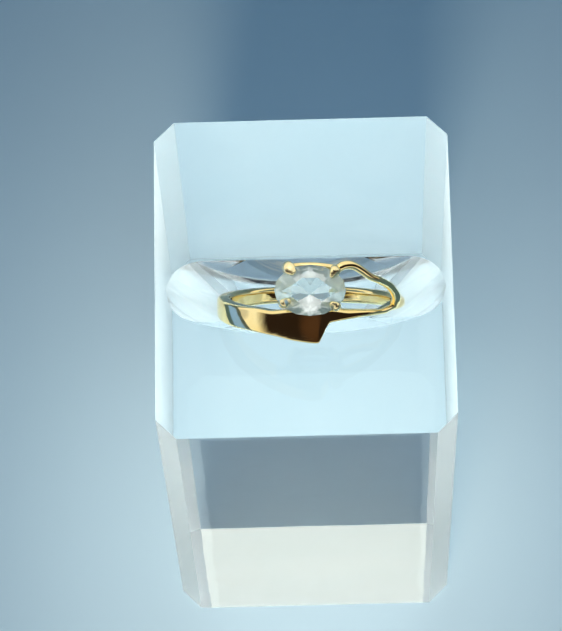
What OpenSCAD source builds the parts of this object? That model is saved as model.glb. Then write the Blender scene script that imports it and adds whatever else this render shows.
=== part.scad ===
// Gold bypass ring with an oval four-claw topaz, standing in the groove of a clear display block.
// The origin is at the middle of the block's underside. X runs along the groove, Y to the rear, Z up.

/* [Display block] */

// Width of the block along the groove
block_w = 31.75; // [25:0.25:50]
// Depth of the block from front to rear
block_d = 36.4; // [28:0.2:60]
// Height of the block
block_h = 60; // [30:0.5:90]
// Flat cut on each upright corner
corner_cut = 2.2; // [0.5:0.1:4]
// Small flat along the top and bottom edges
edge_cut = 0.3; // [0.1:0.05:1]

/* [Groove in the block's top] */

// Length of the mouth of the groove
groove_len = 29.8; // [24:0.1:30.5]
// Width of the mouth of the groove
groove_w = 7.0; // [5:0.1:9]
// Depth of the groove at its middle
groove_deep = 9.7; // [8:0.1:14]
// Sideways place of the groove's middle
groove_x = 0.2; // [-2:0.1:2]
// Front to rear place of the groove's middle
groove_y = -1.62; // [-6:0.02:4]

/* [Ring hoop] */

// Inside diameter of the hoop
finger_d = 16.9; // [14:0.1:21]
// Thickness of the hoop's metal
hoop_t = 1.5; // [1:0.05:2.5]
// Forward lean of the hoop in the groove
lean = 27.3; // [10:0.1:40]
// Sideways place of the hoop's middle
ring_x = 0.73; // [-3:0.01:3]
// Front to rear place of the hoop's middle
ring_y = -3.99; // [-8:0.01:0]
// Height of the hoop's middle above the block's top
ring_rise = 1.0; // [0:0.05:3]
// Turn of the hoop about its own upright, in the groove
turn = -1.5; // [-6:0.1:6]

/* [Topaz] */

// Length of the stone's oval
stone_len = 7.4; // [5:0.05:9]
// Width of the stone's oval
stone_wid = 5.3; // [4:0.05:7]
// Height of the crown above the girdle's middle
crown_h = 1.0; // [0.6:0.05:1.6]
// Depth of the pavilion below the girdle's middle
pavilion_h = 2.1; // [1.6:0.05:3]
// How far the lowest point lies in front of the stone's middle
culet_lean = 0.5; // [0:0.05:0.8]
// Thickness of the girdle
girdle_t = 0.12; // [0.05:0.01:0.3]
// Share of the oval that the table covers
table_share = 0.56; // [0.45:0.01:0.7]
// Distance of the girdle from the hoop's middle
girdle_v = 11.0; // [10.5:0.05:12]
// Sideways place of the stone's middle
stone_x = -0.05; // [-1:0.05:1]
// Place of the stone's middle along the finger
stone_u = 2.66; // [1.5:0.02:3.5]

/* [Hidden] */

groove_r = (groove_len * groove_len / 4 + groove_deep * groove_deep) / (2 * groove_deep);
groove_lift = groove_r - groove_deep;
rim_r = groove_w / 2;
past = 1;

hoop_in = finger_d / 2;
hoop_out = hoop_in + hoop_t;
seat_gap = 0.04;
band_side_points = 20;
wire_side_points = 14;
round_fn = 96;
claw_fn = 16;

// Rows of the stone's points: where each row starts, and how far out the inner ones stand.
table_at = 0;
star_at = 8;
top_at = 16;
low_at = 32;
keel_at = 48;
culet_at = 56;
star_share = 0.79;
keel_share = 0.3;

// How square a section's outline is: 2 is an ellipse, more is squarer.
shank_square = 2.8;

// Edges of the band along the finger, by the angle round the hoop from the stone, left side negative.
// [angle, front edge]
band_front = [
    [-180, -0.45], [-150, -0.5], [-120, -0.7], [-100, -0.9], [-90, -1.05], [-76, -1.35],
    [-61, -1.58], [-50, -1.72], [-40, -1.84], [-33, -1.98], [-21, -2.28], [-12, -2.62],
    [-4, -2.84], [3.2, -2.95], [4.8, -2.92], [5.6, -2.72], [10.8, -1.0], [11.8, -0.84],
    [14, -0.76], [22, -0.58], [38, -0.36], [56, -0.3], [62, -0.06], [75, -0.06],
    [90, -0.15], [120, -0.35], [150, -0.42], [180, -0.45],
];
// [angle, rear edge]
band_rear = [
    [-180, 1.28], [-120, 1.22], [-90, 1.1], [-75, 0.92], [-60, 0.74], [-47, 0.62],
    [-36, 0.55], [-30, 0.45], [-24, 0.36], [-19, 0.44], [-12, 0.58], [0, 0.72],
    [14, 0.68], [22, 0.55], [38, 0.37], [50, 0.26], [62, 0.6], [75, 0.95],
    [90, 1.1], [120, 1.18], [150, 1.25], [180, 1.28],
];
// [angle, thickness of the metal as a share of the hoop's]
band_thick = [
    [-180, 0.95], [-60, 1], [-20, 1.04], [4, 1.04], [10, 1], [34, 0.8],
    [50, 0.72], [66, 0.9], [90, 0.97], [180, 0.95],
];
// Angles at which the band has a section, in runs: [from, step, to]
band_runs = [
    [-180, 6, -6],
    [-3, 3.1, 3.2],
    [4, 0.8, 13],
    [16, 2, 18],
    [22, 4, 38],
    [44, 6, 176],
];

// Middle line of the rear arm, right tip to the rear right claw: [x, along the finger, from the middle]
// and half its width and half its height.
rear_arm = [
    [8.75, 0.62, 3.9, 0.5, 0.5],
    [8.92, 1.3, 4.4, 0.48, 0.48],
    [8.62, 2.0, 5.1, 0.42, 0.45],
    [8.05, 2.74, 6.05, 0.4, 0.44],
    [7.12, 3.36, 7.3, 0.38, 0.44],
    [6.15, 3.84, 8.25, 0.38, 0.44],
    [5.28, 4.52, 9.0, 0.4, 0.44],
    [4.6, 4.98, 9.55, 0.43, 0.44],
    [3.95, 5.2, 10.05, 0.46, 0.44],
    [3.3, 5.15, 10.4, 0.46, 0.44],
    [2.7, 4.88, 10.55, 0.42, 0.42],
    [1.8, 5.05, 10.3, 0.38, 0.42],
    [0.6, 5.24, 10.1, 0.38, 0.42],
    [-0.8, 5.24, 10.1, 0.38, 0.42],
    [-1.9, 5.08, 10.3, 0.38, 0.42],
    [-2.4, 4.85, 10.5, 0.38, 0.38],
];
arm_steps = 3;

// Claws, by side and end of the stone.
// [foot x, foot u, bend x, bend u, tip x, tip u, radius]
claws = [
    [-1.9, 1.7, -2.4, 2.4, -1.97, 1.74, 0.55],
    [1.9, 1.7, 2.62, 2.05, 2.42, 1.42, 0.52],
    [-2.0, -1.4, -2.86, -1.4, -2.2, -1.02, 0.44],
    [2.0, -1.4, 2.76, -1.72, 2.25, -1.38, 0.44],
];
foot_v = 9.15;
claw_mid_drop = 0.5;
claw_top_rise = 0.72;
tip_rise = 0.86;
tip_r = 0.3;

// Lower rail of the basket: half its length, half its width and its wire's radius.
rail_half_x = 2.3;
rail_half_u = 1.75;
rail_r = 0.36;
rail_sections = 28;

// A number raised to a share of a power with its sign kept.
function signed_pow(a, p) = sign(a) * pow(abs(a), p);

// A point of the hoop: angle from the stone, distance from the middle, place along the finger.
function hoop_point(phi, r, u) = [r * sin(phi), u, r * cos(phi)];

// One section of the band.
function band_section(phi) =
    let (
        front = lookup(phi, band_front),
        rear = lookup(phi, band_rear),
        thick = hoop_t * lookup(phi, band_thick),
        half_u = (rear - front) / 2,
        mid_u = (rear + front) / 2,
        mid_r = hoop_in + thick / 2,
        p = 2 / shank_square
    )
    [for (i = [0 : band_side_points - 1])
        let (t = (i + 0.5) * 360 / band_side_points)
        hoop_point(
            phi,
            mid_r + thick / 2 * signed_pow(sin(t), p),
            mid_u + half_u * signed_pow(cos(t), p)
        )];

// A smooth curve through rows of numbers, of any length, at a share of the way from row i to the next.
function clamp_row(rows, i) = rows[max(0, min(len(rows) - 1, i))];
function curve(rows, i, t) =
    let (
        a = clamp_row(rows, i - 1),
        b = clamp_row(rows, i),
        c = clamp_row(rows, i + 1),
        d = clamp_row(rows, i + 2)
    )
    (2 * b + (c - a) * t + (2 * a - 5 * b + 4 * c - d) * t * t + (3 * b - a - 3 * c + d) * t * t * t) / 2;

function place(row) = [row[0], row[1], row[2]];
function unit(v) = v / norm(v);

// A section across a wire at p, along its direction, with half its width and half its height.
function wire_section(p, dir, half_w, half_h) =
    let (
        outward = unit([p[0], 0, p[2]]),
        up = unit(outward - (outward * dir) * dir),
        side = cross(up, dir)
    )
    [for (i = [0 : wire_side_points - 1])
        let (t = i * 360 / wire_side_points)
        p + side * (half_w * cos(t)) + up * (half_h * sin(t))];

function arm_rows() = [
    for (i = [0 : len(rear_arm) - 2], k = [0 : arm_steps - 1]) curve(rear_arm, i, k / arm_steps),
    rear_arm[len(rear_arm) - 1],
];

function arm_sections() =
    let (rows = arm_rows(), last = len(rows) - 1)
    [for (i = [0 : last])
        let (dir = unit(place(rows[min(i + 1, last)]) - place(rows[max(i - 1, 0)])))
        wire_section(place(rows[i]), dir, rows[i][3], rows[i][4])];

function rail_sections_list() =
    [for (i = [0 : rail_sections - 1])
        let (
            a = i * 360 / rail_sections,
            p = [stone_x + rail_half_x * cos(a), stone_u + rail_half_u * sin(a), foot_v],
            dir = unit([-rail_half_x * sin(a), rail_half_u * cos(a), 0]),
            side = cross([0, 0, 1], dir)
        )
        [for (k = [0 : wire_side_points - 1])
            let (t = k * 360 / wire_side_points)
            p + side * (rail_r * cos(t)) + [0, 0, rail_r * sin(t)]]];

// Faces between rows of points, with the rows joined in a ring or with a flat cap at each end.
function loft_faces(rows, n, closed) = concat(
    [for (i = [0 : rows - (closed ? 1 : 2)], k = [0 : n - 1])
        let (j = (i + 1) % rows, m = (k + 1) % n)
        [i * n + k, j * n + k, j * n + m]],
    [for (i = [0 : rows - (closed ? 1 : 2)], k = [0 : n - 1])
        let (j = (i + 1) % rows, m = (k + 1) % n)
        [i * n + k, j * n + m, i * n + m]],
    closed ? [] : [
        [for (k = [0 : n - 1]) k],
        [for (k = [n - 1 : -1 : 0]) (rows - 1) * n + k],
    ]
);

// A solid through a list of sections.
module loft(sections, closed = false) {
    n = len(sections[0]);
    polyhedron(
        points = [for (s = sections) for (p = s) p],
        faces = loft_faces(len(sections), n, closed)
    );
}

// A plan outline w by d with its corners cut by c.
module cut_rectangle(w, d, c) {
    polygon([
        [-w / 2 + c, -d / 2], [w / 2 - c, -d / 2],
        [w / 2, -d / 2 + c], [w / 2, d / 2 - c],
        [w / 2 - c, d / 2], [-w / 2 + c, d / 2],
        [-w / 2, d / 2 - c], [-w / 2, -d / 2 + c],
    ]);
}

// The wheel that cuts the groove: a disc whose rim is half round.
module groove_wheel() {
    translate([groove_x, groove_y, block_h + groove_lift])
        rotate([90, 0, 0]) {
            cylinder(r = groove_r - rim_r, h = groove_w, center = true, $fn = round_fn);
            rotate_extrude($fn = round_fn)
                translate([groove_r - rim_r, 0])
                    circle(r = rim_r, $fn = round_fn);
        }
}

module display_block() {
    color([0.86, 0.93, 0.96, 0.4])
        difference() {
            intersection() {
                linear_extrude(block_h)
                    cut_rectangle(block_w, block_d, corner_cut);
                translate([0, 0, block_h / 2])
                    rotate([90, 0, 0])
                        linear_extrude(block_d + past, center = true)
                            cut_rectangle(block_w, block_h, edge_cut);
                translate([0, 0, block_h / 2])
                    rotate([90, 0, 90])
                        linear_extrude(block_w + past, center = true)
                            cut_rectangle(block_d, block_h, edge_cut);
            }
            groove_wheel();
        }
}

// Moves the ring from its own place, upright about the finger, to the way it stands in the groove.
module in_groove() {
    translate([ring_x, ring_y, block_h + ring_rise])
        rotate([lean, 0, 0])
            rotate([0, 0, turn])
                children();
}

// One claw: foot on the rail, body up past the girdle, tip pressed onto the crown.
module claw(row) {
    foot = [stone_x + row[0], stone_u + row[1], foot_v];
    body = [stone_x + row[2], stone_u + row[3], girdle_v - claw_mid_drop];
    top = [stone_x + row[2] * 0.97, stone_u + row[3] * 0.97, girdle_v + claw_top_rise];
    tip = [stone_x + row[4], stone_u + row[5], girdle_v + tip_rise];
    hull() {
        translate(foot)
            sphere(r = row[6] * 0.8, $fn = claw_fn);
        translate(body)
            sphere(r = row[6], $fn = claw_fn);
    }
    hull() {
        translate(body)
            sphere(r = row[6], $fn = claw_fn);
        translate(top)
            sphere(r = row[6] * 0.9, $fn = claw_fn);
    }
    hull() {
        translate(top)
            sphere(r = row[6] * 0.9, $fn = claw_fn);
        translate(tip)
            sphere(r = tip_r, $fn = claw_fn);
    }
}

module gold_ring() {
    color([0.93, 0.74, 0.33])
        in_groove()
            difference() {
                union() {
                    loft([for (run = band_runs) for (phi = [run[0] : run[1] : run[2]]) band_section(phi)], true);
                    loft(arm_sections());
                    loft(rail_sections_list(), true);
                    for (row = claws)
                        claw(row);
                }
                cut_stone(seat_gap);
            }
}

// Forward lean of the pavilion at a height below the girdle.
function lean_at(v) = culet_lean * max(-v - girdle_t / 2, 0) / (pavilion_h - girdle_t / 2);

// Points round the stone: how many, first angle, share of the oval, height, growth for a clearance.
function oval(n, first, share, v, grow) =
    [for (i = [0 : n - 1])
        let (a = first + i * 360 / n)
        [
            stone_x + (stone_len / 2 * share + grow) * cos(a),
            stone_u - lean_at(v) + (stone_wid / 2 * share + grow) * sin(a),
            girdle_v + v,
        ]];

// Faces of the cut, by the rows of points in cut_points.
function crown_faces() = concat(
    [[for (k = [7 : -1 : 0]) table_at + k]],
    [for (k = [0 : 7]) [table_at + k, table_at + (k + 1) % 8, star_at + (k + 1) % 8]],
    [for (k = [0 : 7]) [star_at + k, table_at + k, star_at + (k + 1) % 8, top_at + 2 * k + 1]],
    [for (k = [0 : 7]) [star_at + k, top_at + 2 * k + 1, top_at + 2 * k]],
    [for (k = [0 : 7]) [star_at + (k + 1) % 8, top_at + (2 * k + 2) % 16, top_at + 2 * k + 1]]
);
function girdle_faces() =
    [for (k = [0 : 15]) [top_at + k, top_at + (k + 1) % 16, low_at + (k + 1) % 16, low_at + k]];
function pavilion_faces() = concat(
    [for (k = [0 : 7]) [low_at + 2 * k, low_at + 2 * k + 1, keel_at + k]],
    [for (k = [0 : 7]) [low_at + 2 * k + 1, low_at + (2 * k + 2) % 16, keel_at + (k + 1) % 8]],
    [for (k = [0 : 7]) [low_at + 2 * k + 1, keel_at + (k + 1) % 8, culet_at, keel_at + k]]
);

// The oval brilliant: table, stars, kites, girdle and pavilion facets; grow swells it for its seat.
module cut_stone(grow = 0) {
    half = girdle_t / 2;
    star_h = crown_h - (crown_h - half) * (star_share * cos(22.5) - table_share) / (1 - table_share);
    keel_h = (pavilion_h - half) * keel_share * cos(22.5) - pavilion_h;
    polyhedron(
        points = concat(
            oval(8, 22.5, table_share, crown_h + grow, grow),
            oval(8, 0, star_share, star_h + grow, grow),
            oval(16, 0, 1, half + grow / 2, grow),
            oval(16, 0, 1, -half - grow / 2, grow),
            oval(8, 0, keel_share, keel_h - grow, grow),
            [[stone_x, stone_u - lean_at(-pavilion_h - grow), girdle_v - pavilion_h - grow]]
        ),
        faces = concat(crown_faces(), girdle_faces(), pavilion_faces())
    );
}

module topaz() {
    color([0.8, 0.9, 0.95, 0.6])
        in_groove()
            cut_stone();
}

display_block();
gold_ring();
topaz();
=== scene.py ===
# %% [markdown]
# # A gold bypass ring with a pale topaz, standing in a clear display block
#
# This lesson builds the looks of a small piece of jewellery round its CAD model: a slim gold hoop
# whose two shoulders pass each other beside an oval stone, four claws, and the clear block with a
# groove that the ring stands in. Everything is in metres, in the CAD model's own frame.

# %% Start
import math

import bmesh
import bpy
from mathutils import Matrix, Vector


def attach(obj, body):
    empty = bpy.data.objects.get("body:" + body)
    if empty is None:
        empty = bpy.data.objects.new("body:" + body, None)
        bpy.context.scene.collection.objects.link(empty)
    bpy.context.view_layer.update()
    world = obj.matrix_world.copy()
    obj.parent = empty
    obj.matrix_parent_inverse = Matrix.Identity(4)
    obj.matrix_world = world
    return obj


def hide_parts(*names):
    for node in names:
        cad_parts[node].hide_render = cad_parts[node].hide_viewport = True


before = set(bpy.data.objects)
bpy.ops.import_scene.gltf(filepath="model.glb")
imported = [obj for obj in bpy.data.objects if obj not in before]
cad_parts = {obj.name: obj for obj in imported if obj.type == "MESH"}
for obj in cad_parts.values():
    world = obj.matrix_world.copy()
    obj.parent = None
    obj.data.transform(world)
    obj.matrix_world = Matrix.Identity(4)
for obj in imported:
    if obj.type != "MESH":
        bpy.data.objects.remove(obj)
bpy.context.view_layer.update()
MM = 0.001
print("CAD nodes:", sorted(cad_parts))

# %% [markdown]
# ## The camera
#
# A product picture of a ring is taken from well above, with a long lens, so that the block's sides
# run almost parallel. The place and the aim below come from fitting the block's corners, and a
# camera is placed most safely from three directions: to its right, its own up, and straight back.

# %% Camera
CAMERA_AT = Vector((3.15, -144.37, 410.02)) * MM
CAMERA_RIGHT = Vector((0.99956, -0.01823, -0.02336))
CAMERA_UP = Vector((0.02559, 0.92851, 0.37041))
LENS_MM = 202.98


def place_camera():
    """Makes the camera from its place and its own three directions."""
    data = bpy.data.cameras.new("ring_camera")
    data.lens = LENS_MM
    data.sensor_width = 36.0
    data.clip_start = 0.01
    data.clip_end = 20.0
    camera = bpy.data.objects.new("ring_camera", data)
    back = CAMERA_RIGHT.cross(CAMERA_UP).normalized()
    turn = Matrix((CAMERA_RIGHT, CAMERA_UP, back)).transposed().to_4x4()
    camera.matrix_world = Matrix.Translation(CAMERA_AT) @ turn
    bpy.context.collection.objects.link(camera)
    bpy.context.scene.camera = camera
    return camera


camera = place_camera()
# Plain tones keep the gold yellow in its brightest parts and the dark reflections deep.
bpy.context.scene.view_settings.view_transform = "Standard"
print("camera height above the floor, mm:", round(camera.location.z / MM, 1))

# %% [markdown]
# ## Small helpers for meshes
#
# A tube that changes its size along a path can be extruded ring by ring, or rolled up from a flat
# grid of squares. The grid is quicker: one operator makes all the faces, then each vertex moves to
# its place on the path, and the seam and any pointed end are closed by merging doubles.

# %% Mesh helpers
# Points closer than this are one point.
SAME_POINT = 0.0005 * MM
# A round corner takes at most this share of the half width and half height.
ROUNDEST = 0.95
# How far the straight side's first point stands from the round corner, as a share of its radius.
STRAIGHT_START = 0.25


def finish_piece(bm, name, material, node, smooth_deg=None):
    """Turns a bmesh into a piece that rides on the root body and stands for a CAD node."""
    mesh = bpy.data.meshes.new(name)
    bm.to_mesh(mesh)
    bm.free()
    piece = bpy.data.objects.new(name, mesh)
    bpy.context.collection.objects.link(piece)
    mesh.materials.append(material)
    for face in mesh.polygons:
        face.use_smooth = smooth_deg is not None
    if smooth_deg is not None:
        mesh.set_sharp_from_angle(angle=math.radians(smooth_deg))
    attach(piece, "root")
    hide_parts(node)
    print(name, "faces:", len(mesh.polygons))
    return piece


def signed_power(value, power):
    """A number raised to a power with its sign kept."""
    return math.copysign(abs(value) ** power, value)


def soft_outline(half_w, half_h, squareness, sides):
    """A closed outline: squareness 2 is an ellipse, and more is closer to a rectangle."""
    power = 2.0 / squareness
    turns = [i / sides * 2 * math.pi for i in range(sides + 1)]
    return [
        (half_w * signed_power(math.cos(t), power), half_h * signed_power(math.sin(t), power))
        for t in turns
    ]


def rounded_outline(half_w, half_h, front, rear, sides):
    """A rectangle with round corners: one radius at its front (negative) side, one at its rear."""
    per_corner = sides // 4
    points = []
    for i in range(sides + 1):
        corner, step = divmod(i % sides, per_corner)
        at_front = corner in (1, 2)
        radius = min(front if at_front else rear, ROUNDEST * half_w, ROUNDEST * half_h)
        sign_w, sign_h = (-1 if at_front else 1), (-1 if corner > 1 else 1)
        share = min(max((step - 1) / (per_corner - 2), 0.0), 1.0)
        turn = (corner + share) * math.pi / 2
        spare = STRAIGHT_START * radius if step in (0, per_corner - 1) else 0.0
        along_w = step == (per_corner - 1 if corner % 2 == 0 else 0)
        back_w, back_h = (spare, 0.0) if along_w else (0.0, spare)
        points.append((
            sign_w * (half_w - radius - back_w) + radius * math.cos(turn),
            sign_h * (half_h - radius - back_h) + radius * math.sin(turn),
        ))
    return points


def roll_tube(stations, closed):
    """Rolls a grid into a tube through stations: (centre, side, up, outline)."""
    bm = bmesh.new()
    last = len(stations) - 1
    sides = len(stations[0][3]) - 1
    bmesh.ops.create_grid(bm, x_segments=sides, y_segments=last, size=1.0)
    for vertex in bm.verts:
        column = round((vertex.co.x + 1.0) * sides / 2.0)
        row = round((vertex.co.y + 1.0) * last / 2.0)
        centre, side, up, outline = stations[row]
        across, over = outline[column]
        vertex.co = centre + side * (across * MM) + up * (over * MM)
    bmesh.ops.remove_doubles(bm, verts=bm.verts[:], dist=SAME_POINT)
    if not closed:
        bmesh.ops.holes_fill(bm, edges=bm.edges[:], sides=sides)
    bmesh.ops.recalc_face_normals(bm, faces=bm.faces[:])
    return bm


# %% [markdown]
# ## Curves through measured tables
#
# Measured tables give the width and the thickness of the metal at a few places only. A curve that
# never overshoots between its rows keeps a crisp corner crisp, so the slopes are limited in the
# way of a monotone spline instead of those of a free one.

# %% Curves through tables
def slopes(rows, column):
    """The slope at each row of a table, flat at its highs and lows."""
    steps = [
        (b[column] - a[column]) / (b[0] - a[0])
        for a, b in zip(rows, rows[1:])
    ]
    inner = [
        0.0 if a * b <= 0 else 2.0 * a * b / (a + b)
        for a, b in zip(steps, steps[1:])
    ]
    return [steps[0]] + inner + [steps[-1]]


def read_table(rows, column, key):
    """The value of a column at any key, on a smooth curve through the rows."""
    key = min(max(key, rows[0][0]), rows[-1][0])
    at = max(i for i in range(len(rows) - 1) if rows[i][0] <= key)
    low, high = rows[at], rows[at + 1]
    span = high[0] - low[0]
    t = (key - low[0]) / span
    tangent = slopes(rows, column)
    return (
        low[column] * (2 * t ** 3 - 3 * t ** 2 + 1)
        + tangent[at] * span * (t ** 3 - 2 * t ** 2 + t)
        + high[column] * (3 * t ** 2 - 2 * t ** 3)
        + tangent[at + 1] * span * (t ** 3 - t ** 2)
    )


def curve_rows(rows, steps):
    """More rows on a smooth curve through a list of rows of numbers."""
    out = []
    last = len(rows) - 1
    for i in range(last):
        a, b, c, d = rows[max(i - 1, 0)], rows[i], rows[i + 1], rows[min(i + 2, last)]
        for k in range(steps):
            t = k / steps
            out.append([
                (2 * q + (r - p) * t + (2 * p - 5 * q + 4 * r - s) * t ** 2
                 + (3 * q - p - 3 * r + s) * t ** 3) / 2
                for p, q, r, s in zip(a, b, c, d)
            ])
    out.append(list(rows[-1]))
    return out


# %% [markdown]
# ## Shared effects
#
# Polished metal, clear plastic and a cut stone all carry the same kinds of fine marks: hairline
# scratches from handling and a soft unevenness left by the polisher. Each effect is one node group
# with named sockets, and every material places it with its own values.

# %% Node helpers
def new_group(name, inputs, outputs):
    """A shader node group with float inputs and typed outputs, and its two end nodes."""
    group = bpy.data.node_groups.new(name, "ShaderNodeTree")
    for label, value in inputs:
        socket = group.interface.new_socket(label, in_out="INPUT", socket_type="NodeSocketFloat")
        socket.default_value = value
    for label, kind in outputs:
        group.interface.new_socket(label, in_out="OUTPUT", socket_type=kind)
    return group, group.nodes.new("NodeGroupInput"), group.nodes.new("NodeGroupOutput")


def add_node(tree, kind, values=None, **settings):
    """Adds a node, sets its properties and the default values of its inputs."""
    node = tree.nodes.new(kind)
    for key, value in settings.items():
        setattr(node, key, value)
    for key, value in (values or {}).items():
        node.inputs[key].default_value = value
    return node


def link(tree, start, end):
    """Joins an output socket to an input socket."""
    tree.links.new(start, end)


def feed(tree, value, end):
    """Joins an output socket to an input socket, or sets the input to a plain value."""
    if isinstance(value, bpy.types.NodeSocket):
        link(tree, value, end)
    else:
        end.default_value = value


def product(tree, first, second):
    """Two values multiplied."""
    times = add_node(tree, "ShaderNodeMath", operation="MULTIPLY")
    link(tree, first, times.inputs[0])
    link(tree, second, times.inputs[1])
    return times.outputs["Value"]


# %% [markdown]
# ## Hairline scratches
#
# A worn ring and a handled block are crossed by fine, nearly straight scratches. They could be drawn
# in a picture, but a picture has one size and repeats. Here a noise is stretched along a line and
# only its narrow crests are kept, three times over in three directions.

# %% Hairline scratches
# Turn of each run of scratches in radians, and how far the noise is squeezed across it.
SCRATCH_RUNS = [(0.35, 24.0), (1.45, 30.0), (2.5, 18.0)]
# The other two turns of a run, as shares of the first, so that it also crosses upright faces.
TILT_SHARES = (0.7, 0.4)
# Noise values between which a scratch fades in.
CREST_START = 0.62
CREST_FULL = 0.74


def make_hairlines():
    """Thin scratches in three directions: stretched noise, cut to its narrow crests."""
    group, start, end = new_group(
        "hairline_scratches",
        [("Scale", 900.0), ("Amount", 0.5)],
        [("Mask", "NodeSocketFloat")],
    )
    coordinates = add_node(group, "ShaderNodeTexCoord")
    total = None
    for turn, stretch in SCRATCH_RUNS:
        mapping = add_node(group, "ShaderNodeMapping")
        tilts = [share * turn for share in TILT_SHARES]
        mapping.inputs["Rotation"].default_value = (*tilts, turn)
        mapping.inputs["Scale"].default_value = (1.0, stretch, 1.0)
        noise = add_node(group, "ShaderNodeTexNoise", {"Detail": 2.0, "Roughness": 0.45})
        crest = add_node(group, "ShaderNodeMapRange", {"From Min": CREST_START, "From Max": CREST_FULL})
        link(group, coordinates.outputs["Object"], mapping.inputs["Vector"])
        link(group, mapping.outputs["Vector"], noise.inputs["Vector"])
        link(group, start.outputs["Scale"], noise.inputs["Scale"])
        link(group, noise.outputs["Fac"], crest.inputs["Value"])
        if total is None:
            total = crest.outputs["Result"]
        else:
            most = add_node(group, "ShaderNodeMath", operation="MAXIMUM")
            link(group, total, most.inputs[0])
            link(group, crest.outputs["Result"], most.inputs[1])
            total = most.outputs["Value"]
    link(group, product(group, total, start.outputs["Amount"]), end.inputs["Mask"])
    return group


hairlines = make_hairlines()
print("runs of scratches:", len(SCRATCH_RUNS))

# %% [markdown]
# ## Soft unevenness
#
# No buffing wheel leaves a perfect surface: a slow swell stays in it, and reflections bend a little
# as they cross it. A plain noise, centred on zero, gives the swell. The same value moves colour,
# roughness and bump together, as it would on the real surface.

# %% Soft unevenness
def make_unevenness():
    """Slow waves left by polishing, from -1 to 1 times the amount."""
    group, start, end = new_group(
        "polish_unevenness",
        [("Scale", 300.0), ("Amount", 1.0)],
        [("Waves", "NodeSocketFloat")],
    )
    coordinates = add_node(group, "ShaderNodeTexCoord")
    noise = add_node(group, "ShaderNodeTexNoise", {"Detail": 3.0, "Roughness": 0.5})
    centred = add_node(group, "ShaderNodeMapRange", {
        "From Min": 0.3, "From Max": 0.7, "To Min": -1.0, "To Max": 1.0,
    })
    link(group, coordinates.outputs["Object"], noise.inputs["Vector"])
    link(group, start.outputs["Scale"], noise.inputs["Scale"])
    link(group, noise.outputs["Fac"], centred.inputs["Value"])
    waves = product(group, centred.outputs["Result"], start.outputs["Amount"])
    link(group, waves, end.inputs["Waves"])
    return group


unevenness = make_unevenness()
print("shared effects:", sorted(group.name for group in bpy.data.node_groups))

# %% [markdown]
# ## What all the materials share
#
# Gold, acrylic and topaz all start from the same Principled shader, take their colour between two
# close tones and their roughness from the waves and the scratches. Writing that once keeps the
# materials short, and shows how they differ: only in a few values.

# %% Materials' common start
def new_material(name):
    """A material with its Principled shader and its output ready."""
    material = bpy.data.materials.new(name)
    material.use_nodes = True
    tree = material.node_tree
    tree.nodes.clear()
    shader = tree.nodes.new("ShaderNodeBsdfPrincipled")
    output = tree.nodes.new("ShaderNodeOutputMaterial")
    link(tree, shader.outputs["BSDF"], output.inputs["Surface"])
    return material, tree, shader, output


def add_group(tree, group, **values):
    """Places a shared effect with its own values."""
    node = tree.nodes.new("ShaderNodeGroup")
    node.node_tree = group
    for key, value in values.items():
        node.inputs[key].default_value = value
    return node


def blend_colours(tree, share, low, high):
    """A blend of two colours, each a socket or a plain colour."""
    mix = add_node(tree, "ShaderNodeMix", data_type="RGBA")
    for key, value in (("Factor", share), ("A", low), ("B", high)):
        feed(tree, value, mix.inputs[key])
    return mix.outputs["Result"]


def mix_shaders(tree, share, first, second):
    """Blends two shaders: share 0 is all the first, and 1 all the second."""
    mix = tree.nodes.new("ShaderNodeMixShader")
    for key, value in enumerate((share, first, second)):
        feed(tree, value, mix.inputs[key])
    return mix.outputs["Shader"]


def ramp_between(tree, waves, low, high):
    """Turns a -1 to 1 value into a blend of two colours."""
    share = add_node(tree, "ShaderNodeMapRange", {"From Min": -1.0, "From Max": 1.0})
    link(tree, waves, share.inputs["Value"])
    return blend_colours(tree, share.outputs["Result"], low, high)


def roughness_from(tree, base, waves, wave_share, marks, mark_share):
    """Base roughness, moved by slow waves and raised along scratches."""
    wave = add_node(tree, "ShaderNodeMath", {1: wave_share, 2: base}, operation="MULTIPLY_ADD")
    mark = add_node(tree, "ShaderNodeMath", {1: mark_share}, operation="MULTIPLY_ADD")
    link(tree, waves, wave.inputs[0])
    link(tree, marks, mark.inputs[0])
    link(tree, wave.outputs["Value"], mark.inputs[2])
    return mark.outputs["Value"]


def lay_polish(tree, shader, tones, scales, roughness, wave_share, mark_share):
    """Colour and roughness that drift with slow waves, and hairlines on top. Returns the waves."""
    wave_scale, mark_scale = scales
    waves = add_group(tree, unevenness, Scale=wave_scale, Amount=1.0).outputs["Waves"]
    marks = add_group(tree, hairlines, Scale=mark_scale, Amount=1.0).outputs["Mask"]
    link(tree, ramp_between(tree, waves, *tones), shader.inputs["Base Color"])
    link(tree, roughness_from(tree, roughness, waves, wave_share, marks, mark_share),
         shader.inputs["Roughness"])
    return waves


def lay_bump(tree, shader, waves, strength, height):
    """Lets the slow waves bend the reflections."""
    bump = add_node(tree, "ShaderNodeBump", {"Strength": strength, "Distance": height})
    link(tree, waves, bump.inputs["Height"])
    link(tree, bump.outputs["Normal"], shader.inputs["Normal"])


# %% [markdown]
# ## Polished gold
#
# Ten carat yellow gold is a metal with a warm, slightly green reflection. Its colour is nearly all
# in what it mirrors, so the roughness stays low, and only slow waves and hairlines disturb it. The
# claws are pressed over the stone and filed last, where a buff can't reach well, so they get a
# second, rougher gold. A file leaves many tiny slopes, each with its own glint; their paler look is
# a painted sheen here, a lighter base tone for the claws.

# %% Gold
GOLD_DEEP = (0.98, 0.77, 0.33, 1.0)
GOLD_BRIGHT = (1.0, 0.85, 0.44, 1.0)
# Painted sheen: a paler gold for the filed claws, standing in for the glints of the file's slopes.
GOLD_PAINTED_SHEEN = (1.0, 0.92, 0.56, 1.0)
GOLD_SCALES = (420.0, 700.0)
BUFFED_ROUGHNESS = 0.06
FILED_ROUGHNESS = 0.24


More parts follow.
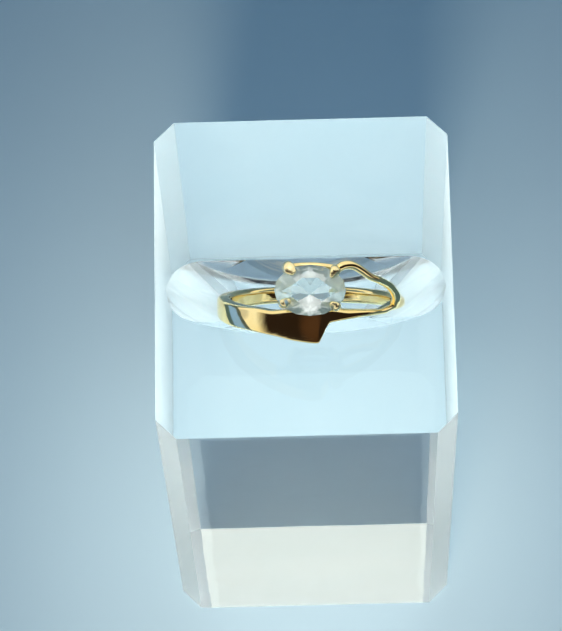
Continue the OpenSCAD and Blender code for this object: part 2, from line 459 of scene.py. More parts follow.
def make_gold(name, roughness, tones):
    """Yellow gold, the rougher the less it was polished."""
    material, tree, shader, _ = new_material(name)
    shader.inputs["Metallic"].default_value = 1.0
    waves = lay_polish(tree, shader, tones, GOLD_SCALES, roughness, wave_share=0.015, mark_share=0.06)
    lay_bump(tree, shader, waves, strength=0.25, height=0.02 * MM)
    return material


gold = make_gold("polished_gold", BUFFED_ROUGHNESS, (GOLD_DEEP, GOLD_BRIGHT))
# The claws' paler tones are a painted sheen for the glints of filing; only the roughness is real.
filed_gold = make_gold("filed_gold", FILED_ROUGHNESS, (GOLD_BRIGHT, GOLD_PAINTED_SHEEN))
print("gold finishes:", gold.name, filed_gold.name)

# %% [markdown]
# ## Clear acrylic
#
# Cast acrylic bends light less than window glass and has a faint cool tint in its depth. Light has
# to reach the floor and the walls behind it, so a shadow ray passes straight through: that is what
# a clear block does apart from the bright bands that it throws. Light from above is turned back at
# the rear face, so that little of it gets out there, and its shadow tint is nearly black.

# %% Acrylic
ACRYLIC_TONES = ((0.93, 0.97, 0.985, 1.0), (0.975, 0.992, 1.0, 1.0))
ACRYLIC_BEND = 1.49
CLEAR_SHADOW = (0.95, 0.975, 0.985, 1.0)
REAR_SHADOW = (0.02, 0.04, 0.07, 1.0)


def new_clear_material(name, bend):
    """A material that lets light in and bends it."""
    material, tree, shader, output = new_material(name)
    shader.inputs["Transmission Weight"].default_value = 1.0
    shader.inputs["IOR"].default_value = bend
    return material, tree, shader, output


def let_light_through(tree, surface, output, tint):
    """Shadow rays meet a tinted clear surface instead of the refracting one."""
    path = tree.nodes.new("ShaderNodeLightPath")
    clear = add_node(tree, "ShaderNodeBsdfTransparent", {"Color": tint})
    both = mix_shaders(tree, path.outputs["Is Shadow Ray"], surface, clear.outputs["BSDF"])
    link(tree, both, output.inputs["Surface"])


def make_acrylic(name, shadow_tint):
    """Clear cast acrylic with polished faces and faint handling marks."""
    material, tree, shader, output = new_clear_material(name, ACRYLIC_BEND)
    waves = lay_polish(tree, shader, ACRYLIC_TONES, (120.0, 260.0), 0.02,
                       wave_share=0.008, mark_share=0.06)
    lay_bump(tree, shader, waves, strength=0.1, height=0.04 * MM)
    let_light_through(tree, shader.outputs["BSDF"], output, shadow_tint)
    return material


acrylic = make_acrylic("clear_acrylic", CLEAR_SHADOW)
rear_acrylic = make_acrylic("clear_acrylic_rear", REAR_SHADOW)
print("acrylic bends light by", ACRYLIC_BEND)

# %% [markdown]
# ## Acrylic short of polished
#
# Only the large faces of such a block are polished well. Its eased edges are scraped, its corner
# cuts buffed and its sides sawn and flamed, and each of these scatters a share of the light. A
# rough surface alone would only blur what lies behind. Mixing in a milky share, half of it thrown
# back and half let in, also gives the pale glow that such faces have.

# %% Hazy acrylic
MILK_TONES = ((0.88, 0.98, 0.93, 1.0), (0.96, 1.0, 0.96, 1.0))
HAZY_SHADOW = (0.8, 0.84, 0.87, 1.0)
# Name, share of the light that is scattered, and roughness.
HAZY_FINISHES = [
    ("eased_acrylic", 0.95, 0.3),
    ("buffed_acrylic", 0.22, 0.2),
    ("flamed_acrylic", 0.3, 0.08),
]


def make_hazy_acrylic(name, haze, roughness):
    """Acrylic with a finish short of polished: a share of the light is scattered to both sides."""
    material, tree, shader, output = new_clear_material(name, ACRYLIC_BEND)
    waves = lay_polish(tree, shader, ACRYLIC_TONES, (500.0, 700.0), roughness,
                       wave_share=roughness * 0.2, mark_share=0.04)
    milk = ramp_between(tree, waves, *MILK_TONES)
    thrown_back = tree.nodes.new("ShaderNodeBsdfDiffuse")
    let_in = tree.nodes.new("ShaderNodeBsdfTranslucent")
    link(tree, milk, thrown_back.inputs["Color"])
    link(tree, milk, let_in.inputs["Color"])
    both = mix_shaders(tree, 0.5, thrown_back.outputs["BSDF"], let_in.outputs["BSDF"])
    hazy = mix_shaders(tree, haze, shader.outputs["BSDF"], both)
    let_light_through(tree, hazy, output, HAZY_SHADOW)
    return material


hazy_acrylics = [make_hazy_acrylic(*finish) for finish in HAZY_FINISHES]
print("hazy finishes:", [material.name for material in hazy_acrylics])

# %% [markdown]
# ## Topaz
#
# Topaz bends light more than acrylic and is nearly colourless here, with an icy tint. Its flat
# facets do the work, so the surface stays sharp and only the faintest polishing lines show. A worn
# stone also carries a thin film of skin grease, which greys it a little: a small share of a dull
# grey-green surface stands for it.

# %% Topaz
TOPAZ_TONES = ((0.93, 0.98, 1.0, 1.0), (0.99, 1.0, 0.985, 1.0))
TOPAZ_BEND = 1.62
TOPAZ_SHADOW = (0.9, 0.93, 0.93, 1.0)
FILM_TONES = ((0.6, 0.75, 0.66, 1.0), (0.75, 0.86, 0.74, 1.0))
FILM_SHARE = 0.14


def make_topaz():
    """Cut and polished topaz, near colourless."""
    material, tree, shader, output = new_clear_material("pale_topaz", TOPAZ_BEND)
    waves = lay_polish(tree, shader, TOPAZ_TONES, (260.0, 1500.0), 0.006,
                       wave_share=0.003, mark_share=0.01)
    film = tree.nodes.new("ShaderNodeBsdfDiffuse")
    link(tree, ramp_between(tree, waves, *FILM_TONES), film.inputs["Color"])
    hazy = mix_shaders(tree, FILM_SHARE, shader.outputs["BSDF"], film.outputs["BSDF"])
    let_light_through(tree, hazy, output, TOPAZ_SHADOW)
    return material


topaz_material = make_topaz()
print("topaz bends light by", TOPAZ_BEND)

# %% [markdown]
# ## The display block
#
# The block is sawn from cast sheet, its corners cut and its edges eased, and a round-edged wheel
# sinks the groove. The same steps make it here: a cube's upright edges are bevelled, a wheel, spun
# from half an outline, is taken away from it, and a last bevel eases every sharp edge.

# %% Block
BLOCK_SIZE = Vector((31.75, 36.4, 60.0)) * MM
CORNER_CUT = 2.2 * MM
EDGE_EASE = 0.3 * MM
GROOVE_LENGTH = 29.8 * MM
GROOVE_WIDTH = 7.0 * MM
GROOVE_DEPTH = 9.7 * MM
GROOVE_AT = Vector((0.2, -1.62, 60.0)) * MM
WHEEL_STEPS = 256
RIM_STEPS = 64
EASE_STEPS = 3
# Edges sharper than this are eased, and faces that meet at less than the second angle look smooth.
SHARP_DEG = 30
BLOCK_SMOOTH_DEG = 25
# Faces above this size are sawn flats; smaller ones belong to the eased edges and the groove.
SMALL_FACE = 1.0 * MM * MM
# Places of the materials on the block, after the polished acrylic at 0.
EASED, BUFFED, FLAMED, REAR = 1, 2, 3, 4
# A normal's part along an axis: over the first it leans that way, over the second it points there,
# and under the third it has nothing of it.
LEANS, POINTS, LEVEL = 0.5, 0.9, 0.1


def object_from(bm, name):
    """A plain object holding a bmesh, for a step that needs modifiers."""
    mesh = bpy.data.meshes.new(name)
    bm.to_mesh(mesh)
    bm.free()
    made = bpy.data.objects.new(name, mesh)
    bpy.context.collection.objects.link(made)
    return made


def upright(edge):
    """Whether an edge runs along Z."""
    run = edge.verts[1].co - edge.verts[0].co
    return abs(run.z) > POINTS * run.length


def sawn_block():
    """A box with its four upright corners cut."""
    bm = bmesh.new()
    bmesh.ops.create_cube(bm, size=1.0)
    bmesh.ops.scale(bm, vec=BLOCK_SIZE, verts=bm.verts[:])
    bmesh.ops.translate(bm, vec=(0, 0, BLOCK_SIZE.z / 2), verts=bm.verts[:])
    bmesh.ops.bevel(
        bm, geom=[e for e in bm.edges if upright(e)], offset=CORNER_CUT, offset_type="OFFSET",
        segments=1, profile=0.5, affect="EDGES", material=-1,
    )
    return object_from(bm, "sawn_block")


def groove_wheel():
    """A disc with a half-round rim, where the groove goes."""
    radius = (GROOVE_LENGTH ** 2 / 4 + GROOVE_DEPTH ** 2) / (2 * GROOVE_DEPTH)
    rim = GROOVE_WIDTH / 2
    bm = bmesh.new()
    bmesh.ops.create_circle(bm, segments=RIM_STEPS, radius=rim)
    bmesh.ops.delete(bm, geom=[v for v in bm.verts if v.co.x < -SAME_POINT], context="VERTS")
    bmesh.ops.translate(bm, vec=(radius - rim, 0, 0), verts=bm.verts[:])
    ends = [v for v in bm.verts if abs(v.co.x - (radius - rim)) < SAME_POINT]
    for end in ends:
        axis_vertex = bmesh.ops.create_vert(bm, co=(0, end.co.y, 0))["vert"][0]
        bm.edges.new((end, axis_vertex))
    bmesh.ops.spin(
        bm, geom=bm.verts[:] + bm.edges[:], axis=(0, 1, 0), cent=(0, 0, 0),
        angle=2 * math.pi, steps=WHEEL_STEPS, use_merge=True,
    )
    bmesh.ops.remove_doubles(bm, verts=bm.verts[:], dist=SAME_POINT)
    bmesh.ops.recalc_face_normals(bm, faces=bm.faces[:])
    lift = Vector((0, 0, radius - GROOVE_DEPTH))
    bmesh.ops.translate(bm, vec=GROOVE_AT + lift, verts=bm.verts[:])
    return object_from(bm, "groove_wheel")


def lay_finishes(faces):
    """Gives the corner cuts, the sides and the rear face their own finish, and keeps flats flat."""
    for face in faces:
        face.use_smooth = face.area < SMALL_FACE
        if face.use_smooth:
            continue
        if abs(face.normal.x) > LEANS and abs(face.normal.z) < LEVEL:
            face.material_index = BUFFED if abs(face.normal.y) > LEANS else FLAMED
        if face.normal.y > POINTS:
            face.material_index = REAR


def make_block():
    """The block with its groove cut and every sharp edge eased."""
    body = sawn_block()
    wheel = groove_wheel()
    cut = body.modifiers.new("groove", "BOOLEAN")
    cut.operation = "DIFFERENCE"
    cut.solver = "EXACT"
    cut.object = wheel
    ease = body.modifiers.new("eased_edges", "BEVEL")
    ease.width = EDGE_EASE
    ease.segments = EASE_STEPS
    ease.limit_method = "ANGLE"
    ease.angle_limit = math.radians(SHARP_DEG)
    ease.material = EASED
    graph = bpy.context.evaluated_depsgraph_get()
    bm = bmesh.new()
    bm.from_object(body, graph)
    for helper in (body, wheel):
        bpy.data.objects.remove(helper)
    piece = finish_piece(
        bm, "display_block_clear", acrylic, "display_block", BLOCK_SMOOTH_DEG,
    )
    for material in hazy_acrylics + [rear_acrylic]:
        piece.data.materials.append(material)
    lay_finishes(piece.data.polygons)
    return piece


block = make_block()

# %% [markdown]
# ## Where the ring stands
#
# The ring is modelled upright about its own middle: X across the hoop, Y along the finger and Z
# towards the stone. It leans forward in the groove and is turned a little, so one matrix moves each
# finished mesh into place and leaves the object itself unturned at the origin.

# %% Ring's place
RING_AT = Vector((0.73, -3.99, 61.0)) * MM
LEAN_DEG = 27.3
TURN_DEG = -1.5
IN_GROOVE = (
    Matrix.Translation(RING_AT)
    @ Matrix.Rotation(math.radians(LEAN_DEG), 4, "X")
    @ Matrix.Rotation(math.radians(TURN_DEG), 4, "Z")
)
TOWARDS_STONE = IN_GROOVE.to_3x3() @ Vector((0, 0, 1))
ALONG_FINGER = IN_GROOVE.to_3x3() @ Vector((0, 1, 0))
print("stone side of the hoop points to", [round(v, 3) for v in TOWARDS_STONE])

# %% [markdown]
# ## The hoop, the wide shoulder and the front arm
#
# These are one band of gold that goes all the way round. Beside the stone it widens to the front,
# ends in a slanted blunt edge, and goes on as a slim arm to the other side. It could be cut from a
# ring of sheet, but its width never stops changing, so tables give its two edges, its thickness and
# its corners by the angle from the stone.

# %% Band tables
HOOP_INSIDE = 8.45
METAL = 1.5
# Angle from the stone in degrees (left is negative), front edge in mm along the finger.
BAND_FRONT = [
    (-180, -0.45), (-150, -0.5), (-120, -0.7), (-100, -0.9), (-90, -1.05), (-76, -1.35),
    (-61, -1.58), (-50, -1.72), (-40, -1.84), (-33, -1.98), (-21, -2.28), (-12, -2.62),
    (-4, -2.84), (3.2, -2.95), (4.8, -2.92), (5.6, -2.72), (10.8, -1.0), (11.8, -0.84),
    (14, -0.76), (22, -0.58), (38, -0.36), (56, -0.3), (62, -0.06), (75, -0.06),
    (90, -0.15), (120, -0.35), (150, -0.42), (180, -0.45),
]
# Angle, rear edge in mm along the finger.
BAND_REAR = [
    (-180, 1.28), (-120, 1.22), (-90, 1.1), (-75, 0.92), (-60, 0.74), (-47, 0.62),
    (-36, 0.55), (-30, 0.45), (-24, 0.36), (-19, 0.44), (-12, 0.58), (0, 0.72),
    (14, 0.68), (22, 0.55), (38, 0.37), (50, 0.26), (62, 0.6), (75, 0.95),
    (90, 1.1), (120, 1.18), (150, 1.25), (180, 1.28),
]
# Angle, thickness as a share of METAL, radius of the front corners and of the rear ones in mm.
BAND_BODY = [
    (-180, 0.95, 0.5, 0.5), (-90, 0.97, 0.45, 0.45), (-62, 1.0, 0.3, 0.35), (-46, 1.02, 0.16, 0.3),
    (-20, 1.04, 0.12, 0.26), (4, 1.04, 0.12, 0.26), (12, 1.0, 0.14, 0.32), (24, 0.88, 0.2, 0.5),
    (36, 0.8, 0.26, 0.5), (50, 0.72, 0.3, 0.5), (66, 0.9, 0.4, 0.45), (90, 0.97, 0.5, 0.5),
    (180, 0.95, 0.5, 0.5),
]
# Angle, and how far the middle of the outer face stands out over its edges, in mm.
BAND_BARREL = [(-180, 0.03), (-90, 0.05), (-60, 0.12), (4, 0.12), (14, 0.04), (180, 0.03)]
# First angle of each run of sections, step and how many: closest round the slanted end.
BAND_RUNS = [(-180, 1.5, 122), (3, 0.25, 41), (14, 1.5, 111), (180, 0, 1)]
# Points round a section, and steps across its outer face.
BAND_SIDES = 48
FACE_CUTS = 8
print("widest place of the shoulder, mm:", max(
    round(read_table(BAND_REAR, 1, row[0]) - row[1], 2) for row in BAND_FRONT
))

# %% [markdown]
# ## Rolling the band
#
# One tube, rolled through the sections, makes hoop, shoulder and arm with a continuous surface. A
# flat face would mirror one spot of the room all over, so its middle is raised by a tenth of a
# millimetre, as a finger polishes it in time, and the reflections then bend at its edges.

# %% Band
# Faces of the metal that meet at less than this look smooth.
METAL_SMOOTH_DEG = 60


def barrelled(outline, half_w, half_h, rise):
    """Cuts the outer face of an outline into steps and raises them to a slight barrel."""
    corner = BAND_SIDES // 4
    rear, front = outline[corner - 1], outline[corner]
    face = [(rear[0] + (front[0] - rear[0]) * k / FACE_CUTS, rear[1]) for k in range(1, FACE_CUTS)]
    points = outline[:corner] + face + outline[corner:]
    return [(x, y + rise * max(y, 0.0) / half_h * (1 - (x / half_w) ** 2)) for x, y in points]


def band_station(angle):
    """One section of the band: its middle, its two directions and its outline."""
    front = read_table(BAND_FRONT, 1, angle)
    rear = read_table(BAND_REAR, 1, angle)
    thick = METAL * read_table(BAND_BODY, 1, angle)
    turn = math.radians(angle)
    outward = Vector((math.sin(turn), 0, math.cos(turn)))
    middle = outward * (HOOP_INSIDE + thick / 2) + Vector((0, (front + rear) / 2, 0))
    half_w, half_h = (rear - front) / 2, thick / 2
    outline = rounded_outline(
        half_w, half_h, read_table(BAND_BODY, 2, angle), read_table(BAND_BODY, 3, angle), BAND_SIDES,
    )
    outline = barrelled(outline, half_w, half_h, read_table(BAND_BARREL, 1, angle))
    return middle * MM, Vector((0, 1, 0)), outward, outline


def band_angles():
    """Angles of the sections, from the runs."""
    return [first + step * i for first, step, count in BAND_RUNS for i in range(count)]


def set_metal(bm, name, material):
    """Moves a piece of the ring into the groove and finishes it."""
    bmesh.ops.transform(bm, matrix=IN_GROOVE, verts=bm.verts[:])
    return finish_piece(bm, name, material, "gold_ring", METAL_SMOOTH_DEG)


def make_band():
    """Hoop, wide shoulder and front arm in one piece."""
    bm = roll_tube([band_station(a) for a in band_angles()], closed=True)
    return set_metal(bm, "hoop_and_front_shoulders", gold)


band = make_band()

# %% [markdown]
# ## Wires: the rear arm, the basket's rail and the claws
#
# The rest of the ring is worked wire. A wire's section turns with its path, so each station takes
# its direction from its neighbours. A plain cut end would catch the light as a hard disc, so the
# last few sections shrink to a point and close the end as a round one.

# %% Wire
# Points round a wire, and sections in a round end.
WIRE_SIDES = 24
END_STEPS = 6


def wire_stations(rows, squareness, sides, closed=False, rounded=True):
    """Stations along a path of rows (x, y, z, half width, half height) in mm."""
    last = len(rows) - 1
    places = [Vector(row[:3]) for row in rows]
    stations = []
    for i, row in enumerate(rows):
        if closed:
            ahead = places[(i + 1) % last] - places[(i - 1) % last]
        else:
            ahead = places[min(i + 1, last)] - places[max(i - 1, 0)]
        ahead.normalize()
        outward = Vector((places[i].x, 0, places[i].z)).normalized()
        up = (outward - ahead * outward.dot(ahead)).normalized()
        side = ahead.cross(up)
        stations.append((places[i] * MM, side, up, soft_outline(row[3], row[4], squareness, sides)))
    if rounded:
        stations = round_end(stations, 0) + stations + round_end(stations, -1)
    return stations


def round_end(stations, at):
    """A few shrinking sections that close a wire with a round end."""
    centre, side, up, outline = stations[at]
    beside = stations[1][0] if at == 0 else stations[-2][0]
    outwards = (centre - beside).normalized()
    reach = min(max(p[0] for p in outline), max(p[1] for p in outline)) * MM
    caps = []
    for k in range(1, END_STEPS + 1):
        turn = k / END_STEPS * math.pi / 2
        shrunk = [(x * math.cos(turn), y * math.cos(turn)) for x, y in outline]
        caps.append((centre + outwards * (reach * math.sin(turn)), side, up, shrunk))
    return caps[::-1] if at == 0 else caps


# %% [markdown]
# ## The rear arm
#
# The open half of the right shoulder is one bowed wire. It leaves the right tip, climbs in a bow
# beside the stone, and runs on behind it to the far claw. A curve object could carry it, but the
# wire swells and flattens on its way, so each row of the table holds its own width and height.

# %% Rear arm
ARM_SQUARENESS = 2.4
ARM_STEPS = 12
# x, along the finger, towards the stone, half width and half height, all in mm.
REAR_ARM = [
    (8.75, 0.62, 3.9, 0.5, 0.5),
    (8.92, 1.3, 4.4, 0.48, 0.48),
    (8.62, 2.0, 5.1, 0.42, 0.45),
    (8.05, 2.74, 6.05, 0.4, 0.44),
    (7.12, 3.36, 7.3, 0.38, 0.44),
    (6.15, 3.84, 8.25, 0.38, 0.44),
    (5.28, 4.52, 9.0, 0.4, 0.44),
    (4.6, 4.98, 9.55, 0.43, 0.44),
    (3.95, 5.2, 10.05, 0.46, 0.44),
    (3.3, 5.15, 10.4, 0.46, 0.44),
    (2.7, 4.88, 10.55, 0.42, 0.42),
    (1.8, 4.98, 10.3, 0.38, 0.38),
    (0.6, 5.12, 10.1, 0.36, 0.36),
    (-0.8, 5.12, 10.1, 0.36, 0.36),
    (-1.9, 5.0, 10.3, 0.38, 0.38),
    (-2.4, 4.85, 10.5, 0.38, 0.36),
]


def make_rear_arm():
    """The bowed arm from the right tip to the rear claws, and the rail behind the stone."""
    stations = wire_stations(curve_rows(REAR_ARM, ARM_STEPS), ARM_SQUARENESS, WIRE_SIDES)
    return set_metal(roll_tube(stations, closed=False), "rear_arm", gold)


rear_arm = make_rear_arm()

# %% [markdown]
# ## The stone's sizes
#
# A setting is made to its stone, so the stone is measured first and the basket takes its sizes from
# it. The oval here is 1.4 times as long as it is wide, the usual shape of a stock oval.

# %% Stone's sizes
# Middle of the girdle from the hoop's middle, and the stone's measures, in mm.
STONE_AT = Vector((-0.05, 2.66, 11.0))
STONE_LENGTH = 7.4
STONE_WIDTH = 5.3
CROWN = 1.0
PAVILION = 2.1
GIRDLE = 0.12
# How far out the table's, the stars' and the lower girdle facets' points stand, as shares of the oval.
TABLE_SHARE = 0.56
STAR_SHARE = 0.79
KEEL_SHARE = 0.3
# How far the lowest point lies in front of the middle, because the rough was cut a little askew.
CULET_LEAN = 0.5
print("stone, length over width:", round(STONE_LENGTH / STONE_WIDTH, 2))

# %% [markdown]
# ## The basket's rail
#
# Under the stone an oval rail ties the claws together. It is a closed wire on an ellipse, rolled
# the same way as the arm but joined end to end. A torus could be squeezed into the same oval, but
# its wire would be squeezed as well.

# %% Basket rail
RAIL_HALF = (2.3, 1.75)
RAIL_LEVEL = 9.15
RAIL_WIRE = 0.36
RAIL_STEPS = 96
RAIL_SIDES = 20


def make_rail():
    """The oval rail that the claws stand on."""
    rows = []
    for i in range(RAIL_STEPS + 1):
        turn = i / RAIL_STEPS * 2 * math.pi
        rows.append((
            STONE_AT.x + RAIL_HALF[0] * math.cos(turn), STONE_AT.y + RAIL_HALF[1] * math.sin(turn),
            RAIL_LEVEL, RAIL_WIRE, RAIL_WIRE,
        ))
    stations = wire_stations(rows, 2.0, RAIL_SIDES, closed=True, rounded=False)
    return set_metal(roll_tube(stations, closed=True), "basket_rail", gold)


rail = make_rail()

# %% [markdown]
# ## The claws
#
# Each claw rises from the rail, stands outside the girdle, and is bent and pressed over the crown
# until its tip lies flat on the facets. The rear two are broad and leaf-shaped, the front two slim.
# Their paths are worked out from the stone's own sizes, so that the tips lie on the crown.

# %% Claws
# Foot x and y, bend x and y, tip x and y, half width, all in mm from the stone's middle.
CLAWS = [
    (-1.9, 1.7, -2.32, 2.42, -1.74, 1.88, 0.62),
    (1.9, 1.7, 2.62, 2.1, 2.22, 1.52, 0.56),
    (-2.0, -1.4, -2.86, -1.4, -2.15, -1.0, 0.46),
    (2.0, -1.4, 2.76, -1.72, 2.2, -1.32, 0.46),
]
# Stations on the way up: height over the girdle's middle in mm, how far out as a share of the
# bend's place, and the width and the height as shares of the half width.
CLAW_RISE = [
    (-0.75, 0.96, 0.85, 0.8),
    (-0.15, 1.01, 1.0, 0.8),
    (0.22, 0.98, 1.05, 0.7),
]
CLAW_FOOT = 0.8
# Over the girdle's edge: height over its middle in mm, and thickness as a share of the half width.
CLAW_OVER = (0.43, 0.52)
# At the tip: lift over the crown in mm, width as a share of the half width, half thickness in mm.
CLAW_TIP = (0.18, 0.62, 0.2)
CLAW_STEPS = 8


def crown_level(x, y):
    """Height of the stone's crown over a point, in mm from the hoop's middle."""
    out = math.hypot(x / (STONE_LENGTH / 2), y / (STONE_WIDTH / 2))
    slope = min(max((1 - out) / (1 - TABLE_SHARE), 0.0), 1.0)
    return STONE_AT.z + GIRDLE / 2 + (CROWN - GIRDLE / 2) * slope


def claw_rows(foot_x, foot_y, bend_x, bend_y, tip_x, tip_y, half):
    """The path of one claw, thinner at its foot and flattened like a leaf over the crown."""
    at = STONE_AT
    foot = (at.x + foot_x, at.y + foot_y, RAIL_LEVEL, half * CLAW_FOOT, half * CLAW_FOOT)
    rise = [
        (at.x + bend_x * out, at.y + bend_y * out, at.z + level, half * wide, half * high)
        for level, out, wide, high in CLAW_RISE
    ]
    over_x, over_y = (bend_x + tip_x) / 2, (bend_y + tip_y) / 2
    over = (at.x + over_x, at.y + over_y, at.z + CLAW_OVER[0], half, half * CLAW_OVER[1])
    lift, wide, thick = CLAW_TIP
    tip = (at.x + tip_x, at.y + tip_y, crown_level(tip_x, tip_y) + lift, half * wide, thick)
    return [foot, *rise, over, tip]


def claw_stations(rows):
    """Stations of a claw: its width lies along the girdle, its height across it."""
    last = len(rows) - 1
    places = [Vector(row[:3]) for row in rows]
    stations = []
    for i, row in enumerate(rows):
        ahead = (places[min(i + 1, last)] - places[max(i - 1, 0)]).normalized()
        radial = Vector((places[i].x - STONE_AT.x, places[i].y - STONE_AT.y, 0)).normalized()
        side = ahead.cross(radial).normalized()
        up = side.cross(ahead)
        outline = soft_outline(row[3], row[4], 2.0, WIRE_SIDES)
        stations.append((places[i] * MM, side, up, outline))
    return round_end(stations, 0) + stations + round_end(stations, -1)


def make_claw(number, row):
    """One claw as a piece."""
    stations = claw_stations(curve_rows(claw_rows(*row), CLAW_STEPS))
    return set_metal(roll_tube(stations, closed=False), "claw_%d" % number, filed_gold)


claws = [make_claw(i + 1, row) for i, row in enumerate(CLAWS)]

# %% [markdown]
# ## The stone
#
# An oval brilliant is a round brilliant stretched one way. Its corner points lie on a few rings:
# the table, the points of the stars, the girdle's two edges and the pavilion's, and the culet.
# The convex hull of those points is the stone, facet for facet, once flat neighbours are joined.

# %% Stone
# Half the angle between neighbouring corners of the table.
HALF_EIGHTH_DEG = 22.5
# Neighbours on the hull that meet at less than this are one facet.
FLAT_DEG = 0.5


def lean_at(level):
    """How far the pavilion's points are moved to the front at a level under the girdle."""
    return CULET_LEAN * max(-level - GIRDLE / 2, 0.0) / (PAVILION - GIRDLE / 2)


def stone_ring(bm, count, first_deg, share, level):
    """A ring of corner points on the oval, at a level from the girdle."""
    points = bmesh.ops.create_circle(bm, segments=count, radius=share)["verts"]
    place = (
        Matrix.Translation(STONE_AT + Vector((0, -lean_at(level), level)))
        @ Matrix.Diagonal((STONE_LENGTH / 2, STONE_WIDTH / 2, 1, 1))
        @ Matrix.Rotation(math.radians(first_deg), 4, "Z")
    )
    bmesh.ops.transform(bm, matrix=place, verts=points)


def make_stone():
    """The oval brilliant as flat facets."""
    half = GIRDLE / 2
    apothem = math.cos(math.radians(HALF_EIGHTH_DEG))
    star = CROWN - (CROWN - half) * (STAR_SHARE * apothem - TABLE_SHARE) / (1 - TABLE_SHARE)
    keel = (PAVILION - half) * KEEL_SHARE * apothem - PAVILION
    bm = bmesh.new()
    stone_ring(bm, 8, HALF_EIGHTH_DEG, TABLE_SHARE, CROWN)
    stone_ring(bm, 8, 0, STAR_SHARE, star)
    stone_ring(bm, 16, 0, 1.0, half)
    stone_ring(bm, 16, 0, 1.0, -half)
    stone_ring(bm, 8, 0, KEEL_SHARE, keel)
    bmesh.ops.create_vert(bm, co=STONE_AT - Vector((0, CULET_LEAN, PAVILION)))
    hull = bmesh.ops.convex_hull(bm, input=bm.verts[:])
    spare = [item for item in hull["geom_interior"] if isinstance(item, bmesh.types.BMVert)]
    bmesh.ops.delete(bm, geom=spare, context="VERTS")
    bmesh.ops.dissolve_limit(
        bm, angle_limit=math.radians(FLAT_DEG), verts=bm.verts[:], edges=bm.edges[:],
    )
    bmesh.ops.recalc_face_normals(bm, faces=bm.faces[:])
    bmesh.ops.scale(bm, vec=(MM, MM, MM), verts=bm.verts[:])
    bmesh.ops.transform(bm, matrix=IN_GROOVE, verts=bm.verts[:])
    return finish_piece(bm, "oval_topaz", topaz_material, "topaz")


stone = make_stone()

# %% [markdown]
# ## The floor
#
# A clear block shows the floor through all its faces, so the floor's tone is half of its look. One
# large square of a pale, cool, dull surface, a tenth of a millimetre under the block so that the
# two faces don't share a plane, is enough.

# %% Floor
FLOOR_TONES = ((0.52, 0.66, 0.71, 1.0), (0.55, 0.69, 0.74, 1.0))
FLOOR_HALF = 1.5
FLOOR_DROP = 0.1 * MM


def make_floor():
    """A plain pale floor with a soft, barely uneven surface."""
    bm = bmesh.new()
    bmesh.ops.create_grid(bm, x_segments=1, y_segments=1, size=FLOOR_HALF)
    bmesh.ops.translate(bm, vec=(0, 0, -FLOOR_DROP), verts=bm.verts[:])
    floor = object_from(bm, "floor")
    material, tree, shader, _ = new_material("pale_floor")
    waves = add_group(tree, unevenness, Scale=9.0, Amount=1.0).outputs["Waves"]
    link(tree, ramp_between(tree, waves, *FLOOR_TONES), shader.inputs["Base Color"])
    shader.inputs["Roughness"].default_value = 0.75
    shader.inputs["Specular IOR Level"].default_value = 0.2
    floor.data.materials.append(material)
    return floor


floor = make_floor()
print("floor, metres across:", 2 * FLOOR_HALF)

# %% [markdown]
# ## The lights
#
# A small front box gives the warm glow on the block's foot, two narrow boxes beside it make the
# hazy sides and corners glow, and a large cool box overhead fills the rest. Seen in a mirror such
# boxes are hard white squares, so they are hidden there, and the surroundings below are what the
# gold shows. A cool card does the opposite: it shows in the hoop's left side and lights nothing.

# %% Lights
WHITE = (1.0, 1.0, 1.0)
ALL_ROUND = 180
# Name, place, aim, width and height, all in metres, power in watts, colour and spread in degrees.
HIDDEN_BOXES = [
    ("front_box", (-0.02, -0.17, 0.17), (0, -0.01, 0), (0.06, 0.05), 0.0208, (1.0, 0.94, 0.84), 33),
    ("left_box", (-0.30, 0.0, 0.03), (0, 0, 0.072), (0.2, 0.02), 0.115, WHITE, 30),
    ("fill_box", (0.0, -0.1, 0.9), (0, 0.05, 0), (0.5, 0.5), 2.6, (0.3, 0.62, 1.0), ALL_ROUND),
    ("right_box", (0.30, 0.0, 0.03), (0, 0, 0.072), (0.2, 0.02), 0.08, WHITE, 30),
]
MIRRORED_CARD = (
    "cool_card", (-0.27, 0.01, 0.004), (-0.265, 0.01, 0.3), (0.3, 0.24), 0.215, (0.16, 0.34, 1.0),
    ALL_ROUND,
)


def soft_box(name, place, aim, size, power, colour, spread):
    """A large area light that points at a place."""
    data = bpy.data.lights.new(name, "AREA")
    data.shape = "RECTANGLE"
    data.size, data.size_y = size
    data.energy = power
    data.color = colour
    data.spread = math.radians(spread)
    light = bpy.data.objects.new(name, data)
    direction = Vector(aim) - Vector(place)
    light.rotation_euler = direction.to_track_quat("-Z", "Y").to_euler()
    light.location = place
    light.visible_camera = False
    light.visible_transmission = False
    bpy.context.collection.objects.link(light)
    return light


for row in HIDDEN_BOXES:
    box = soft_box(*row)
    box.visible_glossy = False
cool_card = soft_box(*MIRRORED_CARD)
cool_card.visible_diffuse = False

# %% [markdown]
# ## The surroundings
#
# Polished things show their surroundings more than themselves. The surroundings are bright at the
# horizon and behind, and dark in a strip overhead, where the gold's front face looks, so that the
# face reads as deep brown against its bright rim. They could be a picture of a studio, but a few
# smooth patches, each a cone round one direction, are enough, and can be moved one at a time.

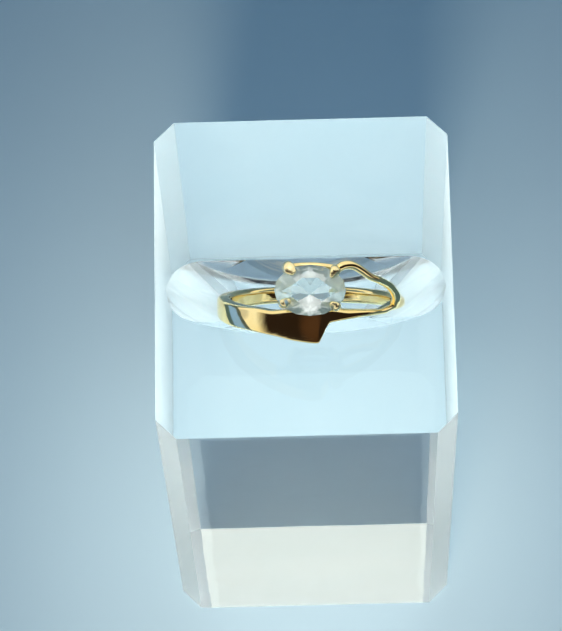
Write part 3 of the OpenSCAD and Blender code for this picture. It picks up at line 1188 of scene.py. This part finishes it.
# %% Surroundings
# Direction, cosine at the edge, cosine at the full brightness, colour and strength.
PATCHES = [
    ((0.0, 0.14, 0.99), 0.95, 0.985, (1.0, 1.0, 0.97), 1.8),
    ((0.0, 0.317, 0.948), 0.985, 0.995, (0.95, 1.0, 0.9), 1.05),
    ((-1.0, 0.1, 0.02), 0.97, 0.995, (1.0, 1.0, 1.0), 0.65),
    ((0.0, -0.99, 0.12), 0.93, 0.98, (0.9, 1.0, 0.95), 0.45),
    ((0.03, -0.55, 0.83), 0.94, 1.0, (1.0, 0.5, 0.3), 0.07),
]
SKY_PALE = (1.0, 0.99, 0.95, 1.0)
SKY_DARK = (0.022, 0.014, 0.012, 1.0)
# The dark strip fades in between each pair of cosines along the finger's line, at its front and at
# its rear, and with the height along a slanted direction.
STRIP_FRONT = (-0.42, -0.32)
STRIP_REAR = (0.25, 0.15)
STRIP_TOWARDS = (0.25, -0.5, 0.75)
STRIP_HEIGHT = (0.04, 0.34)


def fade(tree, towards, direction, start, full):
    """A value that rises from 0 to 1 as a direction's cosine goes from start to full."""
    dot = add_node(tree, "ShaderNodeVectorMath", operation="DOT_PRODUCT")
    dot.inputs[1].default_value = direction
    link(tree, towards, dot.inputs[0])
    rise = add_node(tree, "ShaderNodeMapRange", {"From Min": start, "From Max": full},
                    interpolation_type="SMOOTHSTEP")
    link(tree, dot.outputs["Value"], rise.inputs["Value"])
    return rise.outputs["Result"]


def dark_strip(tree, towards):
    """A strip overhead, square to the finger's line, that the hoop's front mirrors."""
    front = fade(tree, towards, ALONG_FINGER, *STRIP_FRONT)
    rear = fade(tree, towards, ALONG_FINGER, *STRIP_REAR)
    height = fade(tree, towards, STRIP_TOWARDS, *STRIP_HEIGHT)
    return product(tree, product(tree, front, rear), height)


def make_world():
    """Soft surroundings with a dark strip overhead and a few bright patches."""
    world = bpy.data.worlds.new("studio")
    bpy.context.scene.world = world
    world.use_nodes = True
    tree = world.node_tree
    tree.nodes.clear()
    towards = tree.nodes.new("ShaderNodeTexCoord").outputs["Generated"]
    colour = blend_colours(tree, dark_strip(tree, towards), SKY_PALE, SKY_DARK)
    for direction, edge, full, tint, strength in PATCHES:
        glow = (*(channel * strength for channel in tint), 1.0)
        share = fade(tree, towards, Vector(direction).normalized(), edge, full)
        colour = blend_colours(tree, share, colour, glow)
    background = tree.nodes.new("ShaderNodeBackground")
    output = tree.nodes.new("ShaderNodeOutputWorld")
    link(tree, colour, background.inputs["Color"])
    link(tree, background.outputs["Background"], output.inputs["Surface"])
    world.cycles_visibility.diffuse = False
    return world


world = make_world()
print("patches in the surroundings:", len(PATCHES))
